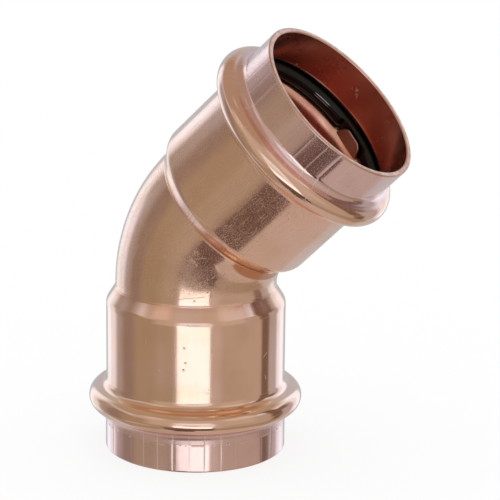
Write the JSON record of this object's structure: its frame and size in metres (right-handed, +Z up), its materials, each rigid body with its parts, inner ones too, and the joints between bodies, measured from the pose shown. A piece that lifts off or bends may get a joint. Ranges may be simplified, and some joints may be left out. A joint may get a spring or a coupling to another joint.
{
  "type": "press fit pipe elbow",
  "caption": "Polished copper obtuse-angle pipe elbow with a press socket, a rolled bead and a rubber sealing ring at each end.",
  "frame": {"origin": "middle of the plan, at the height of the lower mouth that the elbow stands on", "axes": "+Z up along the lower socket's axis; the upper socket leans 45 degrees from +Z towards +X; Y is across the fitting"},
  "size_m": [0.08, 0.0532, 0.1069],
  "materials": {
    "copper": "polished",
    "seal_rubber": "smooth moulded"
  },
  "bodies": {
    "root": {"elbow_body": "copper", "seal_ring_lower": "seal_rubber", "seal_ring_upper": "seal_rubber"}
  },
  "joints": []
}
